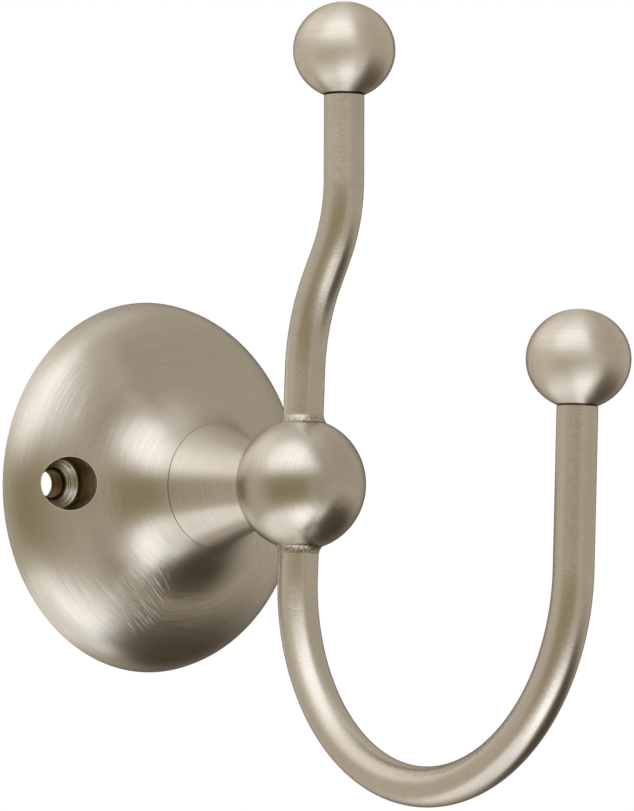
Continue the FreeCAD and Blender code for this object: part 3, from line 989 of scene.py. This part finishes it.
# Painted shade: the lower bead's pits are darker than the upper bead's.
pits_and_shade = PIT_DARKNESS + beyond(-1 * height, *LOWER_FROM) * LOWER_PAINTED_SHADE
grain = noise(net, place, GRAIN_SCALE, GRAIN_DETAIL, GRAIN_ROUGH)
inputs = {"Vector": place, "Scale": PIT_SCALE}
pits = net.node("ShaderNodeTexVoronoi", outlet="Distance", inputs=inputs)
lumps = (grain + pits * PIT_SHARE) * (rough * (1 - SMOOTH_SHARE) + SMOOTH_SHARE)
inputs = {"Height": lumps, "Strength": LUMP_STRENGTH, "Distance": LUMP_DEPTH * MM}
dark_pits_and_shade = rough * (1 - grain.ramp(*GRAIN_SPLIT)) * pits_and_shade
metal = {
    "Base Color": dark_pits_and_shade.mixed(BRAZE_BRIGHT, BRAZE_PITS_AND_SHADE),
    "Metallic": 1.0,
    "Roughness": BEAD_ROUGHNESS + grain * GRAIN_ROUGHENS,
    "Normal": net.node("ShaderNodeBump", inputs=inputs),
}
shaded(net, metal)


def ball_height(radius):
    """How high the centre ball's round face is at a radius from the rod's axis."""
    return BALL_RADIUS * math.sqrt(1 - (radius / BALL_RADIUS) ** 2)


throat = ROD_RADIUS + SEAT_GAP
toe = Vector((throat + BEAD_WIDTH, ball_height(throat + BEAD_WIDTH)))
top = Vector((throat, ball_height(throat) + BEAD_HEIGHT))
chord = top - toe
lean = Vector((-chord.y, chord.x)).normalized()
bead_outline = [(throat, toe.y + BEAD_LIP), tuple(toe)]
for i in range(1, BEAD_STEPS + 1):
    t = i / BEAD_STEPS
    bead_outline.append(tuple(toe.lerp(top, t) + lean * BEAD_HOLLOW * 4 * t * (1 - t)))
bead_outline.append(bead_outline[0])
for name, flip in (("upper_braze_bead", 0), ("lower_braze_bead", math.pi)):
    stand = ball_centre @ Euler((flip, 0, 0)).to_matrix().to_4x4()
    bead = turned(name + "_run", bead_outline, stand, bead_metal, BEAD_SEGMENTS)
    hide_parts(name)
    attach(bead, "root")


# End balls: turned in line with the rod they sit on and a little flatter that way, each with a
# flat against the rod's end and a blind hole for its pin. Their finer brushing smears what
# they mirror in one direction.
PIN_HOLE_RADIUS = PIN_RADIUS + FIT_GAP
PIN_SPARE = 0.3
FINIAL_STEPS = 80
FINIAL_PAINTED_LIGHTENING = (1.23, 1.24, 1.26)
FINIAL_HAIR = 0.2
FINIAL_ROUGHNESS = 0.33
FINIAL_BLUR = 0.85
FINIAL_BLUR_TURN = 0.25
JOINT_SHADOW = (0.02 - FINIAL_FLAT, 0.10 - FINIAL_FLAT)

pin_hole_end = -FINIAL_FLAT + PIN_LENGTH + PIN_SPARE
finial_outline = [
    (0.0, pin_hole_end),
    (PIN_HOLE_RADIUS, pin_hole_end),
    (PIN_HOLE_RADIUS, -FINIAL_FLAT),
]
start_angle = math.asin(FLAT_SHARE)
for i in range(FINIAL_STEPS + 1):
    a = start_angle + (math.pi - start_angle) * i / FINIAL_STEPS
    radius = FINIAL_RADIUS * math.sin(a) if i < FINIAL_STEPS else 0.0
    finial_outline.append((radius, -FINIAL_HALF_HEIGHT * math.cos(a)))
for name, path, joint_painted_shadow in (("top_finial_ball", stem, 0.9), ("front_finial_ball", hook, 0.5)):
    tip = (path.spot + path.direction() * FINIAL_FLAT) * MM
    lean = Euler((math.radians(path.heading), 0, 0))
    finish, net = new_paint(name + "_nickel")
    radius, level, cosine, sine, run = rings(net, tuple(tip), lean)
    metal = brushed(net, radius, level, cosine, sine, run, FINIAL_HAIR, FINIAL_ROUGHNESS)
    # Painted light: the end balls' nickel is made lighter than the plate's.
    metal["Base Color"] = net.vector("MULTIPLY", metal["Base Color"], FINIAL_PAINTED_LIGHTENING)
    metal["Anisotropic"] = FINIAL_BLUR
    metal["Anisotropic Rotation"] = FINIAL_BLUR_TURN
    # Painted shadow at the joint where the ball sits on the rod, stronger on the top ball.
    lay_painted_light(metal, within(level, *JOINT_SHADOW) * joint_painted_shadow, SEAM_PAINTED_SHADOW)
    shaded(net, metal)
    stand = Matrix.Translation(tip) @ lean.to_matrix().to_4x4()
    finial = turned(name + "_turned", finial_outline, stand, finish)
    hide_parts(name)
    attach(finial, "root")


# Screw and spring washer: bright zinc, hidden in the hollow of the plate. They clamp the
# plate, the neck and the ball together from behind.
ZINC_DARK = (0.56, 0.57, 0.60, 1)
ZINC_BRIGHT = (0.72, 0.73, 0.75, 1)
SPANGLE_SCALE = 900.0
SPANGLE_DETAIL = 3.0
SPANGLE_ROUGH = 0.6
SPANGLE_SPLIT = (0.3, 0.7)
ZINC_ROUGHNESS = 0.28
SPANGLE_ROUGHENS = 0.2
SPANGLE_STRENGTH = 0.3
SPANGLE_DEPTH = 0.1

zinc, net = new_paint("zinc_steel")
place = net.node("ShaderNodeTexCoord", outlet="Object")
spangle = noise(net, place, SPANGLE_SCALE, SPANGLE_DETAIL, SPANGLE_ROUGH)
inputs = {"Height": spangle, "Strength": SPANGLE_STRENGTH, "Distance": SPANGLE_DEPTH * MM}
metal = {
    "Base Color": spangle.ramp(*SPANGLE_SPLIT).mixed(ZINC_DARK, ZINC_BRIGHT),
    "Metallic": 1.0,
    "Roughness": ZINC_ROUGHNESS + spangle * SPANGLE_ROUGHENS,
    "Normal": net.node("ShaderNodeBump", inputs=inputs),
}
shaded(net, metal)
for name in ("assembly_screw", "lock_washer"):
    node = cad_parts[name]
    node.data.materials.clear()
    node.data.materials.append(zinc)
